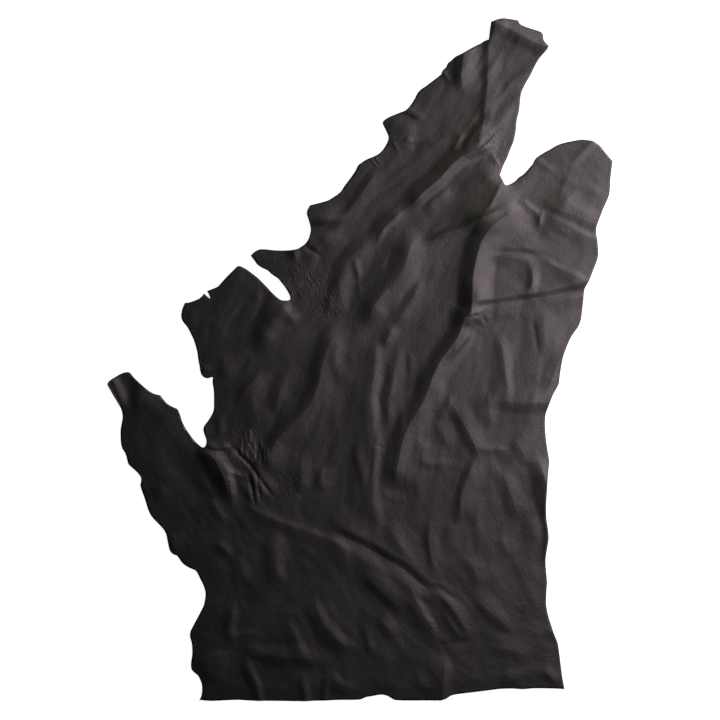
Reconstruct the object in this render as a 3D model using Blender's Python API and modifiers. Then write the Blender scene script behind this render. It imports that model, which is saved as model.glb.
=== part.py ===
"""Cowhide: half of a tanned black hide, lying flat on the floor with the grain side up.

Metres, +Z up. +Y runs to the neck end and +X to the side cut along the backbone. The hide is one
closed sheet of even thickness. Its edge and its folds come from short tables in centimetres and
millimetres, with the middle of the hide as zero.
"""
import bmesh
import bpy
import numpy as np
from mathutils import Vector
from mathutils.geometry import delaunay_2d_cdt

CM = 0.01
MM = 0.001

# Driving sizes
THICKNESS = 1.4 * MM
EDGE_STEP = 2.2 * CM       # longest gap between points along the edge
EDGE_FINE = 0.18 * CM      # spacing at which the edge is first drawn
EDGE_BEND = 0.05 * CM      # how far the edge may stray from its curve between two points
WIDE_STEP = 4.0 * CM       # spacing of points where the hide lies smooth
FINE_STEP = 2.0 * CM       # spacing of points on the folds
FINE_BEND = 0.75 * MM      # bend over one fine step above which the fine spacing is used
FINE_MARGIN = 0.75         # a wide-spaced point keeps this share of a fine step from the fine ones
EDGE_GAP = 0.75 * CM       # inner points keep at least this far from the edge
PATH_STEP = 1.2 * CM       # spacing of points along a fold's path
BANK_REACH = 2.6           # width of a furrow with its banks, in widths of the furrow
FOLD_FADE = 0.38           # share of a fold's length over which each end dies away
FOOT = 0.6 * MM            # rounding where a fold meets the floor

# The edge, anticlockwise from the left corner of the neck end. Each stretch is one smooth curve
# from corner to corner, and starts where the one before it ends. Columns: x and y in centimetres.
EDGE = {
    "neck end, left side": [(32.0, 83.2), (31.8, 81.0), (31.7, 79.0)],
    "neck, outer side": [
        (31.7, 79.0), (30.5, 78.5), (26.5, 76.2), (23.7, 74.85), (22.0, 73.3), (21.3, 72.7), (21.0, 72.0),
        (20.2, 71.1), (20.0, 70.2)],
    "shoulder": [
        (20.0, 70.2), (16.9, 68.0), (15.0, 66.7), (13.3, 64.2), (11.2, 61.5), (9.6, 60.9), (5.9, 59.1),
        (5.5, 58.2), (6.8, 55.4), (6.6, 53.4), (5.0, 51.2), (3.0, 50.0)],
    "chest": [
        (3.0, 50.0), (0.3, 48.6), (-0.8, 47.4), (-2.3, 45.0), (-5.0, 41.2), (-8.0, 39.3), (-12.5, 38.1)],
    "front armpit": [
        (-12.5, 38.1), (-13.2, 36.4), (-12.3, 33.0), (-12.4, 30.9), (-13.4, 28.9), (-15.6, 27.4),
        (-19.1, 27.0), (-24.3, 27.4), (-26.2, 26.6), (-27.1, 25.6)],
    "strap, under side": [
        (-27.1, 25.6), (-25.5, 23.4), (-23.0, 22.1), (-20.2, 20.0), (-18.3, 17.5), (-17.3, 15.2),
        (-17.8, 14.75), (-19.4, 14.9), (-21.8, 16.8), (-24.4, 19.7), (-28.0, 22.6), (-29.8, 23.2),
        (-31.0, 22.4), (-34.0, 19.3), (-36.0, 17.7), (-38.5, 16.4), (-39.4, 15.4), (-43.2, 14.1)],
    "belly edge": [
        (-43.2, 14.1), (-44.1, 11.1), (-43.3, 8.9), (-41.0, 4.9), (-40.0, 1.0), (-39.4, -2.6),
        (-38.0, -4.4), (-36.3, -4.3)],
    "hind armpit": [
        (-36.3, -4.3), (-36.4, -5.6), (-36.05, -8.5), (-36.1, -12.2), (-36.9, -14.1), (-38.5, -16.4),
        (-38.5, -18.0), (-37.9, -20.0), (-38.4, -21.5)],
    "shank, inner side": [
        (-38.4, -21.5), (-39.3, -21.2), (-41.0, -19.6), (-43.2, -16.5), (-44.3, -13.6), (-45.1, -12.1),
        (-47.2, -11.0), (-48.8, -9.2), (-49.5, -8.6), (-51.0, -8.15), (-53.5, -6.3), (-56.0, -3.9),
        (-57.2, -2.95), (-59.0, -3.4), (-61.6, -5.0), (-62.3, -6.0)],
    "shank, outer side": [
        (-62.3, -6.0), (-60.0, -10.0), (-58.7, -12.8), (-58.65, -15.0), (-59.0, -18.0), (-58.8, -21.2),
        (-57.6, -23.7), (-56.9, -25.9), (-54.9, -27.7), (-54.0, -29.4), (-54.05, -31.3), (-52.4, -36.4),
        (-51.2, -38.8), (-48.6, -41.5), (-47.7, -43.3), (-47.1, -46.4), (-46.2, -47.8), (-45.0, -48.3)],
    "stifle": [(-45.0, -48.3), (-43.6, -50.2), (-41.9, -51.25), (-40.4, -51.9)],
    "rump, left side": [
        (-40.4, -51.9), (-38.7, -55.4), (-38.15, -58.0), (-38.7, -60.8), (-41.0, -65.1), (-41.95, -67.8),
        (-41.4, -71.0), (-41.7, -75.2), (-40.9, -77.0), (-39.3, -79.0), (-39.0, -81.6), (-39.7, -83.8)],
    "cut edge": [
        (-39.7, -83.8), (-35.0, -83.95), (-30.0, -83.75), (-20.0, -83.95), (-0.3, -83.65), (1.5, -83.0),
        (5.1, -82.4), (8.0, -83.5), (12.0, -83.9), (19.2, -83.75), (22.6, -82.6), (28.0, -81.8),
        (34.3, -81.0), (40.0, -81.05), (43.0, -80.85), (50.3, -81.05)],
    "back, lower half": [
        (50.3, -81.05), (49.15, -73.3), (48.6, -69.6), (46.9, -65.0), (45.75, -59.5), (46.0, -54.7),
        (45.6, -50.0), (46.3, -43.6), (45.65, -36.5), (45.9, -30.5), (46.5, -25.0), (45.7, -19.6),
        (45.6, -14.0), (46.5, -10.8), (48.4, -6.9), (49.1, -4.6)],
    "back, upper half": [
        (49.1, -4.6), (49.6, -0.8), (51.5, 4.9), (53.7, 8.3), (54.5, 11.2), (55.0, 16.2), (56.0, 19.1),
        (58.2, 24.3), (58.5, 27.2), (58.0, 31.8), (59.5, 36.4), (61.2, 40.6), (61.7, 45.5), (62.15, 49.0)],
    "shoulder lobe": [
        (62.15, 49.0), (60.0, 51.5), (57.6, 53.8), (54.8, 54.3), (50.5, 53.6), (45.2, 51.05), (43.4, 49.8),
        (41.7, 47.4), (39.7, 45.4), (37.5, 43.5), (35.7, 43.0), (35.2, 43.7), (34.3, 45.5)],
    "neck, inner side": [
        (34.3, 45.5), (36.0, 49.5), (37.7, 53.5), (38.5, 58.5), (39.3, 64.0), (41.9, 70.3), (44.2, 74.4),
        (46.3, 77.2)],
    "neck end": [
        (46.3, 77.2), (45.15, 78.7), (44.8, 80.5), (42.0, 81.6), (39.5, 82.6), (38.9, 83.7), (34.9, 84.0),
        (32.0, 83.2)],
}

# The folds. A path runs downwards or to the right; "left" and "right" are how far the fold spreads
# on the left and right hand of someone walking it, in centimetres. A rise above zero is a ridge and
# below zero a furrow between two low banks, in millimetres. Sharp is 0 for a round crest, 1 for a
# creased one.
FOLDS = {
    "throat": dict(rise=6, left=4.0, right=1.9, sharp=0.3, path=[
        (32.2, 81.0), (31.6, 76.0), (30.9, 70.0), (30.3, 63.5), (30.0, 57.5), (29.6, 54.5)]),
    "neck pocket": dict(rise=9, left=5.5, right=3.2, sharp=0.1, path=[
        (26.2, 79.5), (25.5, 74.0), (25.4, 70.5), (25.6, 67.5), (26.8, 64.0)]),
    "neck end roll": dict(rise=9, left=4.5, right=4.2, sharp=0.1, path=[
        (32.5, 81.6), (36.5, 79.4), (41.0, 78.9), (49.0, 78.0)]),
    "neck side": dict(rise=5, left=2.8, right=2.4, sharp=0.1, path=[
        (41.5, 66.5), (36.9, 61.9), (34.8, 60.2), (31.8, 57.0)]),
    "neck ridge": dict(rise=14, left=3.6, right=4.4, sharp=0.25, path=[
        (33.5, 53.0), (29.5, 52.0), (25.2, 50.0), (22.4, 47.5), (17.3, 42.6), (12.4, 38.2), (9.4, 35.1),
        (6.2, 33.0), (4.4, 29.6), (3.8, 26.5)]),
    "bay slope": dict(rise=9, left=3.5, right=9.0, sharp=0.1, path=[
        (37.0, 46.5), (33.5, 40.8), (31.3, 37.4), (29.6, 34.0)]),
    "withers ridge": dict(rise=20, left=7.0, right=4.6, sharp=0.2, path=[
        (39.0, 37.9), (35.2, 36.2), (31.6, 33.6), (28.9, 30.0), (27.6, 25.5), (27.0, 20.0), (26.8, 15.0),
        (26.6, 11.0), (24.9, 7.0)]),
    "back ridge": dict(rise=16, left=6.0, right=5.2, sharp=0.2, path=[
        (27.2, 14.0), (25.6, 10.2), (24.3, 6.5), (21.8, 2.8), (18.6, -2.3), (16.0, -8.5), (13.6, -14.0)]),
    "rump ridge": dict(rise=10, left=5.0, right=3.6, sharp=0.15, path=[
        (17.2, -6.0), (14.6, -12.0), (11.6, -16.6), (9.7, -21.0), (9.0, -26.5), (7.2, -33.0)]),
    "rib ridge": dict(rise=13, left=5.0, right=5.0, sharp=0.1, path=[
        (14.0, 32.5), (12.2, 27.5), (10.4, 22.2), (6.9, 17.3), (3.4, 13.0), (1.8, 7.5)]),
    "pinch": dict(rise=-8, left=2.0, right=1.2, sharp=0.5, path=[
        (27.5, 11.7), (32.0, 12.9), (40.0, 13.7), (46.5, 14.9), (50.0, 16.0), (58.5, 17.3)]),
    "middle rib": dict(rise=7, left=3.0, right=3.5, sharp=0.1, path=[
        (3.2, 4.0), (2.6, -4.0), (2.6, -13.0), (3.2, -24.0), (3.3, -34.0), (3.7, -41.0)]),
    "second rib": dict(rise=5, left=3.5, right=2.2, sharp=0.1, path=[
        (10.2, 4.0), (8.0, -2.0), (6.5, -8.5), (7.2, -14.0)]),
    "flank ridge": dict(rise=8, left=5.0, right=4.0, sharp=0.2, path=[
        (-3.5, 8.5), (-8.8, 1.0), (-10.3, -5.5), (-13.2, -12.0), (-19.2, -18.6), (-22.3, -24.0), (-23.6, -30.0)]),
    "strap furrow": dict(rise=8, left=5.0, right=4.2, sharp=0.1, path=[
        (-17.5, 17.5), (-20.5, 12.5), (-24.3, 5.5), (-26.5, -1.0)]),
    "hip cup": dict(rise=11, left=4.0, right=5.0, sharp=0.2, path=[
        (-39.8, -20.8), (-36.2, -23.6), (-33.2, -26.5), (-31.6, -31.5), (-31.0, -37.0)]),
    "hip pinch": dict(rise=-6, left=1.4, right=1.4, sharp=0.6, path=[
        (-31.5, -20.8), (-29.0, -23.9), (-24.9, -28.6), (-21.0, -34.8)]),
    "rump fold": dict(rise=-8, left=2.8, right=2.6, sharp=0.3, path=[
        (-7.0, -41.8), (-1.0, -44.6), (5.0, -47.8), (11.5, -51.9), (19.0, -57.3)]),
    "rump fold tail": dict(rise=5, left=1.8, right=3.2, sharp=0.3, path=[
        (-30.0, -36.6), (-18.0, -40.4), (-9.0, -44.0), (-1.0, -48.0)]),
    "rump fold foot": dict(rise=5, left=4.0, right=2.2, sharp=0.1, path=[
        (0.5, -51.0), (3.8, -55.5), (9.5, -60.5), (13.0, -62.2)]),
    "tail crease one": dict(rise=8, left=3.4, right=3.8, sharp=0.2, path=[
        (11.6, -55.5), (14.6, -61.3), (17.8, -66.8), (19.6, -71.0)]),
    "tail crease two": dict(rise=6, left=4.0, right=2.8, sharp=0.2, path=[
        (18.5, -56.0), (21.5, -59.5), (25.3, -65.0), (27.2, -68.5)]),
    "tail crease three": dict(rise=5, left=4.0, right=3.0, sharp=0.1, path=[
        (27.0, -57.0), (33.8, -62.9), (38.0, -65.2), (41.5, -67.6)]),
    "star, upper arm": dict(rise=8, left=3.2, right=3.0, sharp=0.3, path=[
        (20.6, -8.6), (23.2, -12.4), (27.2, -19.0), (29.6, -25.0)]),
    "star, lower arm": dict(rise=7, left=4.0, right=2.8, sharp=0.3, path=[
        (29.4, -22.6), (26.6, -28.0), (25.0, -33.5), (24.3, -41.0)]),
    "back dent": dict(rise=5, left=3.6, right=3.2, sharp=0.1, path=[
        (32.8, -25.0), (35.8, -30.4), (38.2, -36.0), (39.2, -41.0)]),
    "back edge dent": dict(rise=6, left=3.5, right=3.6, sharp=0.1, path=[
        (42.8, -26.0), (44.8, -31.0), (46.6, -36.5), (48.5, -44.0)]),
    "saddle dent": dict(rise=6, left=3.5, right=2.8, sharp=0.1, path=[
        (34.2, 7.5), (35.4, 1.0), (36.6, -5.0), (35.8, -12.0)]),
    "saddle roll": dict(rise=6, left=2.2, right=4.2, sharp=0.1, path=[
        (32.0, -10.9), (37.0, -10.3), (45.0, -10.9), (50.0, -9.5)]),
    "lobe fold": dict(rise=6, left=1.6, right=5.0, sharp=0.2, path=[
        (43.5, 36.2), (50.0, 32.8), (54.0, 30.0), (61.5, 26.5)]),
    "lobe brow": dict(rise=7, left=6.0, right=3.0, sharp=0.1, path=[
        (46.0, 38.4), (53.0, 36.5), (61.0, 33.4)]),
    "lobe under fold": dict(rise=6, left=2.6, right=2.6, sharp=0.1, path=[
        (38.5, 26.0), (44.0, 24.6), (51.0, 21.3), (58.5, 17.8)]),
    "lobe arc": dict(rise=6, left=3.2, right=2.2, sharp=0.1, path=[
        (41.2, 25.0), (42.8, 20.0), (41.6, 15.8), (38.5, 14.6)]),
    "lobe crest": dict(rise=6, left=3.6, right=2.6, sharp=0.1, path=[
        (58.5, 57.5), (54.0, 49.0), (50.4, 43.4), (49.2, 37.5)]),
    "chest furrow": dict(rise=-5, left=2.2, right=2.6, sharp=0.1, path=[
        (-16.0, 32.1), (-9.0, 32.6), (-6.3, 33.4), (-2.0, 38.0), (2.5, 44.5)]),
    "shank curl": dict(rise=7, left=3.2, right=2.4, sharp=0.1, path=[
        (-62.0, -1.5), (-60.5, -7.0), (-58.8, -10.5), (-58.0, -14.0)]),
    "cut edge wave one": dict(rise=4, left=2.6, right=2.2, sharp=0.1, path=[
        (20.8, -72.5), (20.4, -78.5), (20.2, -90.0)]),
    "cut edge wave two": dict(rise=4, left=2.2, right=2.4, sharp=0.1, path=[
        (-28.5, -73.5), (-26.0, -78.0), (-24.9, -90.0)]),
    "tail wave one": dict(rise=5, left=3.2, right=4.0, sharp=0.1, path=[
        (-12.0, -57.5), (-9.6, -64.8), (-5.5, -69.2), (-1.0, -73.0)]),
    "tail wave two": dict(rise=4, left=2.8, right=3.0, sharp=0.1, path=[
        (-19.0, -62.0), (-16.4, -68.5), (-13.0, -74.5)]),
    "rump hollow": dict(rise=4, left=3.5, right=3.5, sharp=0.1, path=[
        (-21.0, -41.5), (-21.8, -47.0), (-19.5, -56.5)]),
}


def curve_through(points, step):
    """Points every step or so along a smooth curve through the given ones."""
    knots = np.array(points, dtype=float)
    knots = np.vstack([2 * knots[0] - knots[1], knots, 2 * knots[-1] - knots[-2]])
    run = []
    for before, start, end, after in zip(knots, knots[1:], knots[2:], knots[3:]):
        length = np.linalg.norm(end - start)
        reach_in = length / (length + np.linalg.norm(start - before))
        reach_out = length / (length + np.linalg.norm(after - end))
        pull_in = (end - before) * reach_in
        pull_out = (after - start) * reach_out
        count = max(1, round(length / step))
        for t in np.arange(count)[:, None] / count:
            run.append((2 * t**3 - 3 * t**2 + 1) * start + (t**3 - 2 * t**2 + t) * pull_in
                       + (3 * t**2 - 2 * t**3) * end + (t**3 - t**2) * pull_out)
    run.append(knots[-2][None, :])
    return np.vstack(run)


def thinned(points, longest, bend):
    """The curve's points that keep it within bend, with no gap above longest."""
    kept = [0]
    here = 0
    for ahead in range(2, len(points)):
        chord = points[ahead] - points[here]
        span = np.linalg.norm(chord)
        between = points[here + 1:ahead] - points[here]
        off = np.abs(between[:, 0] * chord[1] - between[:, 1] * chord[0]) / max(span, CM * MM)
        if span > longest or off.max() > bend:
            here = ahead - 1
            kept.append(here)
    return points[kept]


def edge_loop():
    """The hide's edge as one closed run of points, in metres."""
    runs = []
    for stretch in EDGE.values():
        drawn = curve_through(np.array(stretch) * CM, EDGE_FINE)
        runs.append(thinned(drawn, EDGE_STEP, EDGE_BEND))
    return np.vstack(runs)


def nearest_on_path(points, path):
    """Each point's distance from the path, its place along it and whether it is on the left hand."""
    near = np.full(len(points), np.inf)
    along = np.zeros(len(points))
    on_left = np.zeros(len(points), dtype=bool)
    walked = 0.0
    for start, end in zip(path, path[1:]):
        step = end - start
        length = np.linalg.norm(step)
        offset = points - start
        share = np.clip(offset @ step / length**2, 0.0, 1.0)
        distance = np.linalg.norm(offset - share[:, None] * step, axis=1)
        closer = distance < near
        near[closer] = distance[closer]
        along[closer] = walked + share[closer] * length
        on_left[closer] = (step[0] * offset[:, 1] - step[1] * offset[:, 0] > 0)[closer]
        walked += length
    return near, along / walked, on_left


def cross_section(reach, sharp):
    """A fold's height at a distance from its crest, as shares of its rise and its width."""
    t = np.clip(reach, 0.0, 1.0)
    return (1 - sharp) * 0.5 * (1 + np.cos(np.pi * t)) + sharp * (1 - t)**2


def eased(t):
    """A smooth step from 0 to 1."""
    t = np.clip(t, 0.0, 1.0)
    return t * t * (3 - 2 * t)


def hide_height(points):
    """The height of the hide's underside over the floor."""
    height = np.zeros(len(points))
    for fold in FOLDS.values():
        path = curve_through(np.array(fold["path"]) * CM, PATH_STEP)
        near, along, on_left = nearest_on_path(points, path)
        width = np.where(on_left, fold["left"], fold["right"]) * CM
        fade = eased(along / FOLD_FADE) * eased((1 - along) / FOLD_FADE)
        shape = cross_section(near / width, fold["sharp"])
        if fold["rise"] < 0:
            shape = shape - cross_section(near / (BANK_REACH * width), 0.0)
        height += fold["rise"] * MM * fade * shape
    rounded = np.where(height > FOOT, height, (height + FOOT)**2 / (4 * FOOT))
    rounded = np.where(height < -FOOT, 0.0, rounded)
    return np.maximum(rounded - FOOT / 4, 0.0)


def inside(points, loop):
    """Which points lie within the closed loop."""
    hit = np.zeros(len(points), dtype=bool)
    for start, end in zip(loop, np.roll(loop, -1, axis=0)):
        spans = (start[1] > points[:, 1]) != (end[1] > points[:, 1])
        rise = end[1] - start[1]
        if rise == 0.0:
            continue
        cross_at = start[0] + (points[:, 1] - start[1]) / rise * (end[0] - start[0])
        hit ^= spans & (points[:, 0] < cross_at)
    return hit


def staggered(step, low, high):
    """A lattice of points over a rectangle, every second row shifted by half a step."""
    rows = []
    row_gap = step * np.sqrt(3) / 2
    for row, y in enumerate(np.arange(low[1], high[1], row_gap)):
        xs = np.arange(low[0] + (row % 2) * step / 2, high[0], step)
        rows.append(np.column_stack([xs, np.full(len(xs), y)]))
    return np.vstack(rows)


def bend_at(points, step):
    """How much the hide bends over one step around each point."""
    middle = hide_height(points)
    bend = np.zeros(len(points))
    for turn in np.radians([0, 45, 90, 135]):
        way = step * np.array([np.cos(turn), np.sin(turn)])
        sides = hide_height(points + way) + hide_height(points - way)
        bend = np.maximum(bend, np.abs(sides - 2 * middle))
    return bend


def inner_points(loop):
    """Points within the edge, closer together on the folds than where the hide lies smooth."""
    low, high = loop.min(axis=0), loop.max(axis=0)
    fine = staggered(FINE_STEP, low, high)
    fine = fine[bend_at(fine, FINE_STEP) > FINE_BEND]
    wide = staggered(WIDE_STEP, low, high)
    to_fine = np.array([np.linalg.norm(fine - point, axis=1).min() for point in wide])
    points = np.vstack([fine, wide[to_fine > FINE_MARGIN * FINE_STEP]])
    points = points[inside(points, loop)]
    gap, _, _ = nearest_on_path(points, np.vstack([loop, loop[:1]]))
    return points[gap > EDGE_GAP]


def leather():
    """Black-finished leather."""
    material = bpy.data.materials.new("black_leather")
    material.use_nodes = True
    shader = material.node_tree.nodes["Principled BSDF"]
    shader.inputs["Base Color"].default_value = (0.022, 0.020, 0.019, 1.0)
    shader.inputs["Roughness"].default_value = 0.48
    return material


def build_hide(collection):
    """The hide: its outline filled with triangles, raised into folds and given its thickness."""
    loop = edge_loop()
    middle = (loop.min(axis=0) + loop.max(axis=0)) / 2
    plan = np.vstack([loop, inner_points(loop)])
    ring = [(i, (i + 1) % len(loop)) for i in range(len(loop))]
    verts, _, faces, _, _, _ = delaunay_2d_cdt([Vector(point) for point in plan], ring, [], 1, MM * CM)
    flat = np.array([tuple(vert) for vert in verts])
    height = hide_height(flat)

    sheet = bmesh.new()
    corners = [sheet.verts.new((x, y, z)) for (x, y), z in zip(flat - middle, height)]
    for face in faces:
        sheet.faces.new([corners[i] for i in face])
    bmesh.ops.recalc_face_normals(sheet, faces=sheet.faces)
    if sheet.faces[0].normal.z < 0:
        bmesh.ops.reverse_faces(sheet, faces=sheet.faces)
    mesh = bpy.data.meshes.new("hide")
    sheet.to_mesh(mesh)
    sheet.free()

    hide = bpy.data.objects.new("hide", mesh)
    collection.objects.link(hide)
    hide.data.materials.append(leather())
    thick = hide.modifiers.new("thickness", "SOLIDIFY")
    thick.thickness = THICKNESS
    thick.offset = 1.0
    return hide


for old in list(bpy.data.objects):
    bpy.data.objects.remove(old, do_unlink=True)
cowhide = bpy.data.collections.new("cowhide")
bpy.context.scene.collection.children.link(cowhide)
build_hide(cowhide)
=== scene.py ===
"""A cowhide: half of a tanned hide, black and semi-matt on the grain side, lying flat on a pale floor.

The hide is one sheet of leather. Its edge and its folds come from tables in centimetres and
millimetres, measured from the middle of the hide. +X is the side cut along the backbone, +Y the neck.
"""
import math

import bmesh
import bpy
import numpy as np
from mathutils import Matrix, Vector, noise
from mathutils.geometry import delaunay_2d_cdt
from mathutils.kdtree import KDTree


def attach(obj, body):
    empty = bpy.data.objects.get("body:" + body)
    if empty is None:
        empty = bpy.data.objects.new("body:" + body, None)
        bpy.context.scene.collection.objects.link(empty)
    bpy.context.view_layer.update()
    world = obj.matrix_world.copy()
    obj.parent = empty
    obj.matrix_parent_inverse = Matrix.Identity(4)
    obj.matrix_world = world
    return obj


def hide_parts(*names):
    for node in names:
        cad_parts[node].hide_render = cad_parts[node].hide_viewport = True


CM = 0.01
MM = 0.001

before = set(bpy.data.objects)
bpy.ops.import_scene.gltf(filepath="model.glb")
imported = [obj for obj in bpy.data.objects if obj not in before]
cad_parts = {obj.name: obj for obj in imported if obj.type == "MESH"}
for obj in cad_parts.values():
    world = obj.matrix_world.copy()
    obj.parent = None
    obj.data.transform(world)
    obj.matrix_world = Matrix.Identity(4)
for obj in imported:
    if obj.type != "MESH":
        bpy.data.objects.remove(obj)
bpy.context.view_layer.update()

# ---------------------------------------------------------------- how finely the leather is drawn
THICKNESS = 1.4 * MM
PITCH = 4.7 * MM            # spacing of the points on the grain side
UNDER_PITCH = 8.5 * MM      # spacing of the points on the flesh side
EDGE_PITCH = 4.0 * MM       # spacing of the points along the edge
CREST_PITCH = 4.0 * MM      # spacing of the points along a fold's crest
CREST_GAP = 1.7 * MM        # distance of the rows of points beside the crest
PATH_STEP = 8.0 * MM        # spacing of the points along a fold's path
EDGE_CLEAR = 0.62           # how far the lattice of points stays off the edge, in spacings
CREST_CLEAR = 0.6 * PITCH   # how far it stays off the crests
TWIN_GAP = 0.8 * CREST_GAP  # of crest points about this close together, one is kept
UNDER_REACH = 0.75 * UNDER_PITCH    # how far off the flesh side looks for its lowest height
FILL_INSIDE = 1             # the triangulation's own number for filling the edge alone
MERGE_GAP = 1e-6            # metres, below which it joins points

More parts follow.
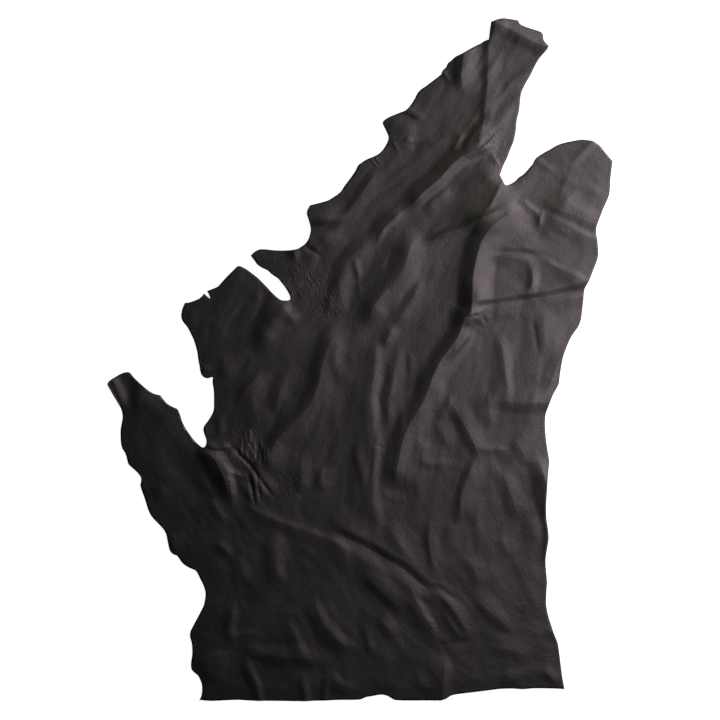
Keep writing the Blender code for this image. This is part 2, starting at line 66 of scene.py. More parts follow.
# ---------------------------------------------------------------- the edge of the hide
# The edge, anticlockwise from the neck end's left corner. Each stretch starts at a corner and ends
# where the next one starts. Columns: x and y, cm.
EDGE = {
    "neck end, left side": [(32.1, 83.1), (31.85, 81.0)],
    "neck, outer side": [
        (31.6, 78.85), (30.55, 78.55), (29.8, 78.05), (28.7, 77.5), (27.55, 76.85), (26.55, 76.25),
        (25.15, 75.4), (23.75, 74.85), (23.05, 74.4), (22.5, 73.85), (21.5, 73.0), (21.2, 72.2),
        (20.35, 71.4), (20.1, 70.95)],
    "shoulder": [
        (19.95, 70.4), (19.2, 69.8), (17.8, 68.75), (16.05, 67.4), (15.3, 66.95), (14.2, 65.9),
        (13.3, 64.2), (12.4, 62.8), (11.2, 61.5), (9.6, 60.9), (7.2, 59.9), (5.9, 59.1), (5.5, 58.4),
        (6.1, 57.0), (6.9, 55.2), (6.9, 54.3), (6.3, 52.9), (5.3, 51.5), (4.4, 50.7)],
    "chest": [
        (3.1, 50.05), (1.5, 49.4), (0.0, 48.4), (-0.5, 48.0), (-1.2, 46.6), (-2.3, 45.0), (-3.8, 43.0),
        (-5.0, 41.3), (-6.8, 40.0), (-8.0, 39.3), (-10.0, 38.7)],
    "front armpit": [
        (-12.44, 38.07), (-13.15, 36.25), (-12.6, 34.1), (-12.2, 32.1), (-12.5, 30.4), (-13.2, 29.0),
        (-14.5, 27.9), (-15.65, 27.3), (-17.4, 27.05), (-19.1, 27.0), (-21.05, 27.05), (-23.5, 27.3),
        (-24.9, 27.25), (-25.9, 26.75), (-26.7, 26.05)],
    "strap, under side": [
        (-27.0, 25.7), (-26.15, 24.6), (-25.3, 23.45), (-24.15, 22.7), (-22.9, 22.1), (-21.75, 21.1),
        (-20.2, 20.0), (-19.05, 18.6), (-18.05, 17.2), (-17.35, 15.8)],
    "strap, inner end": [
        (-17.2, 15.1), (-17.5, 14.75), (-18.35, 14.65), (-19.35, 14.75), (-20.2, 15.25), (-21.6, 16.5),
        (-22.9, 17.9), (-25.0, 20.05), (-26.75, 21.45), (-28.15, 22.45), (-29.8, 23.2)],
    "belly top": [
        (-30.3, 23.1), (-31.0, 22.4), (-33.0, 20.4), (-34.0, 19.3), (-35.0, 18.2), (-36.0, 17.7)],
    "belly nick": [
        (-37.8, 17.0), (-37.3, 16.2), (-37.0, 15.2), (-37.9, 15.9)],
    "belly corner": [
        (-38.5, 16.4), (-39.2, 15.5), (-40.0, 15.0), (-42.0, 14.25)],
    "belly edge": [
        (-43.2, 14.1), (-43.8, 12.7), (-44.1, 11.2), (-43.95, 10.0), (-43.4, 9.1), (-42.6, 8.1),
        (-41.8, 6.6), (-41.0, 4.9), (-40.5, 3.3), (-40.15, 1.9), (-39.9, 0.0), (-39.6, -1.5),
        (-39.4, -2.8), (-39.0, -3.8), (-38.2, -4.4), (-37.3, -4.5), (-36.7, -4.2)],
    "hind armpit": [
        (-36.3, -4.3), (-36.4, -5.5), (-36.15, -7.0), (-36.05, -8.5), (-36.05, -11.0), (-36.1, -12.2),
        (-36.5, -13.3), (-37.2, -14.5), (-38.2, -15.9), (-38.6, -16.6), (-38.6, -17.5), (-38.2, -18.8),
        (-37.9, -19.7), (-37.9, -20.5), (-38.2, -21.3)],
    "shank, inner side": [
        (-38.67, -21.5), (-39.0, -21.45), (-40.0, -20.65), (-41.0, -19.65), (-42.0, -18.3),
        (-43.0, -16.85), (-43.6, -15.7), (-44.0, -14.8), (-44.25, -13.8), (-44.55, -13.05),
        (-45.0, -12.1), (-46.0, -11.6), (-47.0, -11.1), (-47.8, -10.5), (-48.25, -9.95),
        (-48.9, -9.1), (-49.25, -8.65), (-50.0, -8.5), (-51.0, -8.15), (-51.95, -7.6), (-53.0, -6.75),
        (-55.0, -4.95), (-56.0, -3.95), (-56.4, -3.4), (-56.8, -3.05), (-57.35, -2.93), (-58.1, -3.07),
        (-59.0, -3.4), (-60.0, -4.0), (-61.8, -5.2), (-62.2, -5.7)],
    "shank, outer side": [
        (-62.3, -6.1), (-61.3, -7.85), (-60.65, -9.0), (-60.0, -10.0), (-59.35, -11.1), (-58.85, -12.1),
        (-58.6, -13.25), (-58.55, -14.2), (-58.7, -15.15), (-58.9, -16.3), (-59.05, -17.4),
        (-59.0, -20.1), (-58.85, -21.0), (-58.6, -21.8), (-58.0, -22.75), (-57.65, -23.6),
        (-57.4, -24.65), (-57.05, -25.7), (-56.5, -26.25), (-55.0, -27.6), (-54.4, -28.35),
        (-54.0, -29.0), (-53.95, -29.55), (-54.15, -30.9), (-53.85, -32.0), (-53.1, -34.1),
        (-52.4, -36.4), (-52.05, -37.3), (-51.55, -38.25), (-51.0, -39.0), (-49.2, -40.85),
        (-48.55, -41.6), (-48.05, -42.35), (-47.75, -43.1), (-47.55, -44.15), (-47.1, -46.25),
        (-46.85, -47.0), (-46.45, -47.55), (-45.8, -47.95)],
    "stifle": [
        (-45.1, -48.2), (-44.5, -49.05), (-43.8, -50.0), (-42.85, -50.75), (-41.9, -51.25),
        (-40.95, -51.65)],
    "rump, left side": [
        (-40.5, -51.9), (-40.0, -52.65), (-39.5, -53.75), (-38.85, -55.0), (-38.35, -56.3),
        (-38.15, -57.1), (-38.15, -58.2), (-38.5, -60.2), (-38.95, -61.25), (-39.6, -62.5),
        (-40.95, -65.05), (-41.5, -66.1), (-41.85, -66.9), (-41.95, -68.0), (-41.5, -69.85),
        (-41.4, -71.2), (-41.4, -72.55), (-41.65, -74.15), (-41.7, -75.4), (-41.55, -76.2),
        (-40.95, -76.9), (-40.0, -77.7), (-39.5, -78.6), (-39.1, -79.65), (-38.95, -80.9),
        (-39.05, -82.2), (-39.3, -83.15)],
    "cut edge": [
        (-39.7, -83.7), (-36.9, -83.95), (-33.2, -83.8), (-30.0, -83.7), (-27.0, -83.85),
        (-20.0, -83.95), (-15.0, -84.0), (-5.0, -83.7), (0.0, -83.6), (1.3, -83.05), (3.0, -82.75),
        (4.0, -82.55), (5.1, -82.4), (6.0, -82.5), (6.8, -82.75), (7.45, -83.15), (8.1, -83.55),
        (8.7, -83.75), (12.2, -83.85), (19.75, -83.7), (20.55, -83.5), (21.15, -83.3), (21.95, -82.8),
        (22.9, -82.45), (24.2, -82.25), (28.0, -81.8), (32.4, -81.25), (34.3, -81.0), (37.45, -80.9),
        (40.0, -81.05), (42.8, -80.85), (47.9, -80.9)],
    "back, lower half": [
        (50.3, -81.05), (50.1, -80.0), (49.75, -78.1), (49.45, -75.9), (49.15, -73.35),
        (48.9, -71.45), (48.65, -69.85), (48.2, -68.6), (47.55, -67.0), (46.95, -65.1),
        (46.45, -63.55), (46.05, -61.95), (45.8, -60.4), (45.75, -59.1), (45.9, -56.1), (46.0, -55.0),
        (45.85, -52.9), (45.6, -49.5), (45.85, -47.0), (46.2, -44.75), (46.3, -43.6), (46.1, -41.3),
        (45.75, -38.85), (45.65, -36.0), (45.85, -32.05), (46.1, -28.4), (46.5, -25.0),
        (46.25, -22.95), (45.85, -20.5), (45.5, -16.5), (45.6, -13.65), (46.15, -11.75),
        (47.35, -8.7), (48.5, -6.65), (48.9, -5.7)],
    "back, upper half": [
        (49.05, -4.55), (49.2, -3.2), (49.7, -0.2), (50.05, 1.15), (50.5, 2.45), (51.1, 3.9),
        (52.1, 5.95), (53.55, 8.05), (54.0, 8.9), (54.3, 9.85), (54.5, 11.0), (54.8, 13.85),
        (55.05, 16.5), (55.25, 17.65), (56.2, 19.5), (57.15, 21.8), (58.25, 24.5), (58.5, 25.55),
        (58.55, 26.55), (58.3, 29.6), (58.05, 31.1), (58.0, 32.1), (58.2, 33.1), (58.85, 34.9),
        (60.1, 37.9), (60.75, 39.3), (61.2, 40.45), (61.45, 41.7), (61.65, 45.0), (62.0, 48.0)],
    "shoulder lobe": [
        (62.15, 49.0), (61.5, 49.75), (60.0, 51.55), (59.1, 52.7), (58.25, 53.35), (57.35, 53.9),
        (56.1, 54.15), (54.55, 54.3), (53.05, 54.1), (49.8, 53.4), (48.25, 52.8), (46.75, 51.9),
        (45.2, 51.05), (43.3, 49.75), (42.8, 49.0), (42.45, 48.25), (41.7, 47.4), (40.8, 46.35),
        (39.9, 45.5), (39.05, 45.0), (38.3, 44.2), (37.5, 43.6), (36.65, 43.15), (36.0, 42.95),
        (35.65, 43.0), (35.35, 43.3), (35.0, 44.1)],
    "neck, inner side": [
        (34.3, 45.45), (34.75, 46.75), (35.25, 48.0), (36.0, 49.5), (37.0, 52.05), (37.65, 53.55),
        (38.05, 55.1), (38.3, 56.6), (38.55, 59.1), (39.1, 61.5), (39.6, 65.6), (40.6, 67.9),
        (41.9, 70.2), (43.2, 72.8), (44.2, 74.4), (45.8, 76.2)],
    "neck end": [
        (46.3, 77.1), (45.1, 78.7), (45.0, 80.0), (44.6, 80.7), (42.0, 81.6), (40.2, 82.2), (39.2, 82.8)],
    "neck end, top": [(38.9, 83.6), (37.0, 83.9), (34.9, 84.0)],
}

# ---------------------------------------------------------------- the folds
# A path runs downwards or to the right. Columns: name; rise in mm, above zero for a ridge and below
# for a furrow between two low banks; reach in cm on the walker's left hand and on the right hand;
# sharpness from 0, a round crest, to 1, a crease; path, x and y in cm.
NECK_FOLDS = [
    ("throat", 4.6, 4.2, 1.5, 0.35, [
        (32.6, 83.0), (31.8, 79.0), (31.5, 75.0), (31.3, 70.0), (31.2, 66.0), (30.9, 62.0), (30.0, 57.0),
        (28.8, 51.5)]),
    ("neck pocket", 12, 4.4, 2.3, 0.5, [
        (26.0, 81.5), (25.4, 76.5), (24.9, 72.0), (25.0, 68.4), (26.6, 64.6)]),
    ("neck pocket lip", 2.5, 0.9, 0.7, 0.6, [(19.8, 71.9), (20.6, 70.6), (21.5, 69.4), (22.4, 68.3)]),
    ("neck end roll", 12, 3.6, 3.0, 0.4, [
        (24.0, 84.4), (30.0, 83.4), (34.0, 82.3), (37.0, 81.0), (40.0, 79.5), (43.0, 78.0), (46.0, 76.9),
        (54.0, 74.2)]),
    ("neck end rim", 5, 4.0, 1.2, 0.5, [
        (34.2, 87.0), (33.1, 83.2), (32.9, 81.4), (32.4, 78.8), (31.8, 77.0)]),
    ("neck side", 2.6, 2.6, 2.0, 0.3, [(42.5, 68.2), (38.8, 64.8), (36.8, 62.4), (33.6, 59.3), (30.8, 56.3)]),
    ("neck side, upper", 3, 2.7, 1.7, 0.4, [
        (46.0, 72.6), (41.5, 70.8), (38.5, 69.2), (35.8, 67.0), (33.6, 64.2)]),
    ("neck foot one", -4, 0.8, 0.9, 0.6, [(34.0, 57.0), (32.3, 55.0), (30.0, 53.0), (27.8, 51.4)]),
    ("neck foot two", 7, 3.4, 1.6, 0.6, [(30.2, 59.6), (28.9, 56.8), (26.8, 53.4), (24.8, 49.8)]),
    ("neck foot three", 4, 1.4, 1.5, 0.5, [(25.6, 57.0), (24.6, 55.0), (23.4, 52.6), (22.2, 50.4)]),
    ("neck foot four", 2.5, 0.9, 1.2, 0.6, [(31.8, 52.2), (32.7, 50.2), (33.7, 48.4), (34.6, 46.6)]),
    ("shoulder dip", -5, 1.3, 3.0, 0.5, [(5.0, 61.2), (8.0, 60.9), (11.6, 60.2), (13.5, 59.3), (16.0, 58.2)]),
    ("shoulder line", 2.4, 0.9, 1.5, 0.6, [
        (4.0, 54.0), (7.0, 53.9), (12.0, 54.1), (20.0, 53.6), (24.5, 54.1)]),
    ("shoulder tick", 1.8, 0.7, 0.8, 0.6, [(7.4, 54.4), (8.3, 53.2), (9.5, 51.0)]),
    ("shoulder dent", -2, 0.8, 0.8, 0.4, [(10.4, 53.3), (12.0, 53.1), (13.4, 53.3)]),
    ("neck ridge", 15, 2.3, 3.6, 0.7, [
        (34.5, 53.2), (31.7, 52.3), (29.5, 51.9), (27.5, 51.1), (25.2, 50.0), (23.8, 48.9), (22.4, 47.5),
        (20.7, 45.75), (19.0, 44.2), (17.3, 42.6), (15.3, 40.9), (14.1, 39.8), (12.0, 37.9), (10.2, 36.4)]),
    ("neck ridge, lower", 7, 1.3, 3.2, 0.5, [
        (13.0, 38.8), (10.4, 36.5), (8.0, 34.5), (6.0, 32.7), (4.9, 30.8), (4.1, 28.6), (3.9, 26.4)]),
    ("under the neck ridge", 4, 3.0, 1.6, 0.4, [(22.5, 42.5), (20.5, 41.0), (18.0, 39.0), (15.0, 36.5)]),
    ("bay slope", 15.5, 5.8, 8.6, 0.9, [
        (37.0, 47.2), (34.4, 42.8), (32.6, 39.6), (30.6, 36.2), (29.2, 33.4), (27.8, 30.0)]),
    ("bay brow", 4.2, 6.0, 3.2, 0.5, [(21.5, 42.6), (25.0, 43.6), (29.0, 44.4), (36.0, 45.6)]),
    ("bay rim", 4, 6.0, 6.0, 0.3, [(35.4, 55.0), (34.8, 51.5), (34.3, 48.0), (34.2, 45.0), (34.8, 41.5)]),
    ("neck shade", 3, 8.0, 8.0, 0.2, [(31.0, 70.0), (30.7, 64.0), (29.9, 58.0), (28.4, 51.0)]),
    ("bay border", 1.6, 0.9, 0.9, 0.6, [(36.2, 45.5), (34.4, 42.5), (32.6, 39.4), (30.4, 35.4)]),
    ("knife slit", -2.5, 0.35, 0.25, 0.9, [(2.6, 50.7), (3.3, 49.9), (4.1, 48.8), (5.3, 47.3)]),
]
BACK_FOLDS = [
    ("withers ridge", 18, 5.6, 3.6, 0.75, [
        (41.5, 38.2), (36.8, 35.8), (33.6, 33.7), (31.0, 31.2), (29.2, 28.0), (28.2, 24.5), (27.7, 21.0),
        (27.4, 17.0), (27.2, 13.5), (26.9, 10.5), (25.8, 7.0)]),
    ("withers step", -5.5, 1.4, 1.2, 0.4, [(31.0, 26.5), (36.0, 26.3), (40.0, 26.2), (46.0, 25.7)]),
    ("withers step, lower", 1.2, 1.6, 2.4, 0.4, [(31.0, 25.2), (36.0, 25.1), (40.0, 25.0), (44.5, 24.4)]),
    ("back ridge", 12.5, 4.4, 3.6, 0.6, [
        (27.2, 14.5), (26.8, 12.0), (25.4, 10.0), (24.7, 7.3), (23.2, 4.5), (21.0, 1.6), (19.2, -1.2),
        (17.7, -4.2), (16.6, -7.6), (15.0, -11.0), (13.3, -14.0), (11.6, -17.0), (10.3, -20.0),
        (9.5, -24.0), (8.8, -28.0), (7.5, -32.5)]),
    ("back ridge, upper", 4.6, 4.0, 3.4, 0.6, [
        (27.4, 15.5), (26.8, 12.0), (25.4, 10.0), (24.7, 7.3), (23.2, 4.5), (21.0, 1.6), (19.2, -1.2),
        (17.7, -4.2), (16.6, -7.6), (15.0, -11.0)]),
    ("back ridge, inner", 4, 1.0, 1.6, 0.6, [(28.0, 8.6), (26.4, 5.6), (24.0, 2.9), (20.9, -0.4)]),
    ("rump notch", 2.4, 1.2, 1.8, 0.5, [(22.4, -7.4), (21.9, -10.6), (20.6, -13.6), (20.0, -16.0)]),
    ("rib ridge", 12, 4.4, 4.6, 0.4, [
        (14.0, 32.5), (12.2, 27.5), (10.4, 22.2), (6.9, 17.3), (3.4, 13.0), (1.8, 7.5)]),
    ("pinch", 5, 0.8, 3.0, 0.7, [
        (26.4, 11.0), (28.6, 11.7), (31.0, 12.3), (36.0, 13.1), (41.0, 13.6), (45.0, 14.5), (48.0, 15.0),
        (54.5, 15.5), (68.0, 16.6)]),
    ("pinch brow", 10, 5.0, 1.9, 0.5, [
        (24.0, 13.4), (28.0, 14.4), (33.0, 15.2), (38.0, 15.8), (45.0, 16.9), (50.0, 18.2), (55.0, 19.4),
        (68.0, 22.6)]),
    ("beneath the pinch", 3, 4.0, 2.6, 0.4, [(29.6, 9.9), (34.0, 11.2), (38.0, 11.6), (43.0, 11.9)]),
    ("vertex line one", -1.4, 0.7, 0.7, 0.5, [(24.8, 10.9), (26.4, 10.6), (29.4, 11.2), (31.0, 11.6)]),
    ("vertex line two", -1.4, 0.7, 0.7, 0.5, [(29.2, 12.2), (29.9, 11.0), (30.9, 9.3), (31.4, 8.2)]),
    ("middle rib", 6, 2.3, 6.5, 0.3, [
        (4.4, 6.0), (3.3, -3.0), (2.8, -12.0), (3.2, -20.0), (3.0, -27.0), (3.2, -34.0), (4.2, -42.0)]),
    ("middle rib notch", -0.9, 0.9, 0.9, 0.4, [(2.6, -20.2), (4.2, -21.2), (6.2, -21.8)]),
    ("second rib", 3.6, 2.6, 2.2, 0.3, [(10.4, 4.5), (9.0, 0.0), (7.8, -6.0), (7.0, -12.0), (6.6, -18.0)]),
    ("short rib one", 3, 2.6, 1.6, 0.3, [(-1.6, -19.0), (-0.6, -24.0), (0.6, -29.0), (1.2, -34.0)]),
    ("short rib two", 2.5, 2.0, 1.2, 0.5, [(12.2, 2.5), (12.3, -1.0), (12.0, -4.0)]),
    ("short rib three", 4, 3.0, 2.0, 0.5, [
        (16.2, 21.0), (14.7, 18.5), (13.0, 15.5), (11.2, 12.5), (9.4, 10.0), (7.8, 7.5)]),
    ("short rib four", 4, 2.2, 2.0, 0.5, [(8.2, 9.0), (7.4, 6.5), (6.2, 4.5), (5.4, 2.8)]),
    ("shoulder blade", 7, 1.6, 1.5, 0.6, [
        (15.0, 28.4), (18.0, 29.8), (22.0, 31.3), (26.5, 33.1), (30.0, 34.9), (33.0, 36.2), (36.8, 37.6)]),
    ("chest fold", 6, 3.2, 3.2, 0.15, [
        (4.0, 30.5), (0.0, 27.3), (-2.5, 25.0), (-4.5, 21.5), (-5.2, 18.0), (-5.5, 14.0), (-6.0, 11.0)]),
    ("chest fine line", 1.2, 1.2, 0.8, 0.4, [(-0.9, 25.0), (-0.7, 21.0), (-0.2, 17.0), (0.1, 13.0)]),
    ("chest spot", 1.4, 1.8, 1.2, 0.2, [(-1.2, 26.0), (-1.1, 22.5), (-0.3, 19.6)]),
    ("chest furrow", -5.5, 1.8, 1.8, 0.4, [(-19.0, 32.6), (-12.0, 32.8), (-8.0, 33.0), (-3.5, 34.0)]),
    ("chest roll", 7, 6.0, 2.0, 0.3, [(-19.0, 34.6), (-12.0, 35.0), (-8.5, 34.9), (-2.5, 36.2)]),
    ("chest lip", 5.5, 2.4, 3.6, 0.3, [(-19.0, 29.6), (-12.0, 30.0), (-7.0, 30.2), (-3.0, 31.5)]),
    ("chest ridge", 5, 3.4, 1.9, 0.5, [(5.5, 48.0), (1.6, 42.6), (-2.0, 38.0), (-5.0, 34.8), (-7.6, 32.6)]),
    ("saddle dent", 3.4, 1.9, 1.9, 0.5, [
        (33.4, 8.0), (34.9, 3.0), (35.8, -3.0), (36.3, -7.2), (35.4, -11.0)]),
    ("saddle roll", 8, 4.2, 3.0, 0.4, [(30.5, -9.6), (36.0, -10.3), (41.0, -10.5), (56.0, -10.9)]),
    ("saddle side", -1.4, 0.9, 1.3, 0.4, [(42.2, 11.0), (43.1, 7.0), (43.6, 4.0), (44.0, 0.5)]),
    ("saddle rim", 5, 1.7, 2.6, 0.6, [
        (51.5, 5.0), (49.2, 0.0), (47.6, -4.0), (46.2, -7.0), (44.2, -10.0)]),
    ("saddle panel", 4, 4.5, 2.6, 0.4, [(45.5, 13.0), (45.0, 9.0), (45.6, 5.0), (47.0, 1.5)]),
    ("saddle wedge", 5.5, 2.8, 5.2, 0.6, [(31.0, -6.5), (31.5, -10.2), (31.8, -13.2), (32.6, -17.0)]),
]
LOBE_FOLDS = [
    ("lobe fold", 5.5, 1.5, 5.0, 0.4, [
        (43.0, 36.4), (46.0, 35.5), (49.5, 33.8), (53.0, 31.9), (57.0, 30.0), (70.0, 24.6)]),
    ("lobe brow", 7.5, 5.5, 2.5, 0.5, [
        (44.0, 37.9), (47.0, 37.5), (50.0, 36.6), (54.0, 35.0), (58.0, 33.2), (70.0, 28.0)]),
    ("lobe under fold", 4, 1.6, 3.0, 0.4, [
        (42.0, 26.0), (44.5, 24.9), (48.0, 22.9), (51.5, 21.1), (66.0, 14.5)]),
    ("lobe arc", 5, 2.2, 1.6, 0.5, [(41.0, 24.9), (42.2, 21.8), (42.2, 19.0), (41.1, 16.8), (39.0, 15.6)]),
    ("lobe crest", 2.6, 1.5, 1.6, 0.4, [
        (60.5, 57.5), (57.6, 54.3), (55.3, 51.7), (53.0, 49.0), (50.8, 46.0)]),
    ("lobe crest, lower", 2.2, 3.2, 1.8, 0.4, [(52.4, 47.5), (50.9, 44.2), (49.7, 41.4), (48.9, 38.0)]),
    ("lobe inner", 3.5, 3.0, 2.6, 0.4, [(44.5, 49.0), (41.6, 46.2), (39.6, 43.6), (38.4, 40.0)]),
    ("lobe inner, upper", 3, 1.3, 1.7, 0.4, [(42.0, 50.6), (43.6, 49.2), (45.6, 47.8), (48.6, 45.6)]),
    ("lobe patch", 2.6, 2.2, 1.8, 0.3, [(54.4, 43.4), (52.6, 41.2), (50.8, 39.2), (49.0, 36.8)]),
    ("lobe crease", 2.4, 0.8, 0.8, 0.5, [(45.2, 37.4), (44.2, 35.0), (43.5, 32.0)]),
    ("lobe hook", 3.5, 1.2, 1.5, 0.5, [(39.6, 41.0), (40.6, 39.0), (41.8, 37.3), (43.4, 35.9), (43.9, 32.6)]),
]
RUMP_FOLDS = [
    ("star, upper arm", 5.8, 3.8, 2.4, 0.5, [
        (21.8, -8.0), (23.0, -11.2), (25.4, -15.6), (27.5, -19.6), (29.1, -23.4), (29.6, -26.5)]),
    ("star, lower arm", 6.4, 4.4, 1.8, 0.5, [(29.4, -22.2), (26.6, -28.0), (25.0, -33.5), (24.2, -41.0)]),
    ("star, left arm", 2.5, 1.5, 2.0, 0.5, [(13.0, -25.6), (18.0, -25.6), (25.0, -25.4)]),
    ("star, right arm", 2.5, 1.5, 1.8, 0.5, [(28.0, -22.0), (32.0, -22.0), (37.5, -21.8)]),
    ("star, far arm", 2.5, 2.0, 2.0, 0.5, [(38.5, -25.3), (42.0, -25.2), (47.0, -25.4)]),
    ("star, short arm", 3, 4.2, 2.4, 0.5, [(36.8, -18.8), (39.4, -21.6), (41.4, -25.2)]),
    ("back dent", 5, 3.6, 3.2, 0.5, [(32.8, -25.0), (35.8, -30.4), (38.2, -36.0), (39.2, -41.0)]),
    ("back edge dent", 14, 3.0, 3.6, 0.35, [
        (43.6, -24.0), (44.9, -28.0), (45.9, -32.0), (46.9, -37.0), (47.8, -43.0), (48.6, -52.0)]),
    ("back low one", 2.5, 3.0, 2.5, 0.5, [(41.5, -38.0), (42.5, -42.0), (41.5, -45.5)]),
    ("back low two", 2.5, 3.0, 3.0, 0.5, [(34.5, -42.5), (35.8, -46.0), (36.5, -49.5)]),
    ("rump small one", 3, 3.0, 2.2, 0.5, [(19.8, -15.0), (20.6, -18.5), (21.3, -22.0)]),
    ("rump small two", 2.5, 2.5, 2.0, 0.5, [(14.9, -19.0), (15.2, -23.0), (14.9, -26.5)]),
    ("rump small three", 1.0, 2.8, 1.2, 0.4, [
        (5.4, -23.0), (5.3, -28.5), (5.6, -32.0), (7.0, -34.0), (9.6, -34.8), (13.0, -35.4)]),
    ("rump fold", -5, 2.0, 3.2, 0.4, [
        (-9.0, -41.2), (-4.5, -43.0), (-1.0, -44.8), (2.0, -46.4), (5.0, -48.2), (8.3, -50.2),
        (11.5, -52.2), (14.7, -54.6), (19.0, -58.0)]),
    ("rump fold tail", 2.8, 1.5, 3.2, 0.4, [(-30.0, -35.6), (-18.0, -40.3), (-9.0, -43.6), (-1.0, -47.0)]),
    ("rump fold foot", 5, 4.0, 2.2, 0.5, [(0.5, -51.0), (3.8, -55.5), (9.5, -60.5), (13.0, -62.2)]),
    ("tail crease one", 5.4, 1.8, 3.8, 0.5, [(12.0, -55.2), (14.0, -59.8), (16.2, -63.6), (19.4, -69.0)]),
    ("tail crease two", 3, 3.2, 2.0, 0.3, [(18.6, -56.2), (22.0, -60.8), (24.8, -64.6), (28.2, -69.0)]),
    ("tail crease, small", 1.6, 1.0, 1.6, 0.4, [(19.4, -60.0), (21.8, -64.2), (25.0, -69.0)]),
    ("tail crease three", 5, 4.0, 2.6, 0.4, [(27.0, -57.0), (30.5, -60.6), (34.0, -63.8), (39.0, -67.0)]),
    ("tail dip", -2, 1.2, 2.0, 0.4, [(17.5, -55.0), (21.0, -57.3), (24.2, -59.8)]),
    ("thigh one", 3.5, 4.0, 2.4, 0.5, [(26.3, -47.5), (27.5, -50.5), (28.9, -54.0), (29.8, -57.5)]),
    ("thigh two", 3.6, 3.0, 1.6, 0.4, [
        (18.3, -37.5), (17.2, -41.0), (16.9, -44.5), (17.3, -48.0), (18.4, -51.5), (20.2, -54.0)]),
    ("thigh three", 4, 3.0, 2.6, 0.3, [
        (5.6, -38.5), (7.2, -41.5), (9.0, -44.3), (11.0, -47.3), (12.8, -50.0)]),
    ("tail low one", 3, 3.5, 2.6, 0.5, [(31.5, -69.0), (35.0, -71.0), (39.0, -72.3), (43.0, -73.5)]),
    ("tail low two", -1.4, 1.0, 2.4, 0.4, [
        (18.0, -69.8), (21.0, -69.9), (24.0, -69.5), (27.0, -68.7), (30.0, -67.9)]),
    ("corner one", 3.5, 2.5, 2.2, 0.5, [(44.0, -75.5), (46.5, -77.5), (49.5, -80.5)]),
    ("corner two", 3, 3.0, 2.5, 0.5, [(34.0, -78.0), (37.5, -78.3), (40.5, -79.0)]),
    ("corner three", 2.5, 2.5, 2.5, 0.5, [(44.5, -65.5), (47.0, -67.0), (49.5, -69.0)]),
    ("cut edge wave one", 8, 2.5, 5.0, 0.4, [(21.0, -71.5), (20.6, -77.0), (20.2, -92.0)]),
    ("cut edge wave two", 4.2, 1.7, 2.4, 0.2, [
        (-29.5, -72.0), (-27.2, -76.5), (-25.4, -80.5), (-24.6, -92.0)]),
    ("tail wave one", 5, 2.6, 4.0, 0.1, [(-11.6, -57.5), (-9.6, -63.8), (-6.5, -68.0), (-0.5, -73.0)]),
    ("tail wave two", 4.2, 2.3, 3.0, 0.1, [(-19.0, -61.5), (-17.0, -66.5), (-15.2, -71.0), (-12.6, -76.0)]),
    ("rump hollow", 5, 3.2, 3.6, 0.05, [(-21.4, -41.0), (-21.3, -47.0), (-20.9, -52.0), (-19.4, -58.5)]),
    ("rump blob", 2.5, 2.6, 2.8, 0.15, [(-5.4, -44.6), (-4.4, -48.0), (-2.4, -53.0)]),
    ("edge ripple one", 4.2, 1.8, 1.8, 0.1, [(-14.4, -76.5), (-13.8, -81.0), (-13.6, -90.0)]),
    ("edge ripple two", 3, 1.6, 1.6, 0.1, [(-8.7, -76.0), (-8.5, -80.0), (-8.6, -90.0)]),
    ("edge ripple three", 3.4, 2.2, 3.0, 0.1, [(-10.0, -76.5), (-5.0, -79.4), (0.0, -82.4)]),
    ("edge ripple four", 3, 3.0, 2.5, 0.5, [(12.5, -77.5), (15.0, -79.5), (18.5, -82.0)]),
    ("low wave one", 2, 1.5, 1.2, 0.5, [(-21.0, -63.2), (-18.0, -62.0), (-15.0, -62.6)]),
    ("low wave two", 4, 3.4, 3.0, 0.1, [
        (-31.0, -70.5), (-25.0, -72.0), (-20.0, -73.0), (-14.0, -73.4), (-6.0, -74.6)]),
    ("low wave three", 4.2, 1.8, 2.6, 0.1, [(-31.6, -58.5), (-31.9, -64.0), (-32.0, -68.0), (-31.4, -71.5)]),
    ("low wave four", 2.4, 1.0, 1.6, 0.5, [(-33.0, -69.6), (-30.5, -68.2), (-27.5, -67.2), (-25.0, -66.6)]),
    ("low wave five", 4, 3.0, 6.0, 0.5, [(-41.5, -76.3), (-38.0, -74.2), (-35.0, -73.0), (-32.0, -72.5)]),
    ("low wave six", 3, 2.0, 2.2, 0.1, [(1.2, -64.5), (2.2, -69.5), (3.8, -74.0)]),
    ("low wave seven", 3, 3.0, 2.5, 0.5, [(3.5, -63.0), (6.2, -65.5), (8.0, -69.0)]),
]
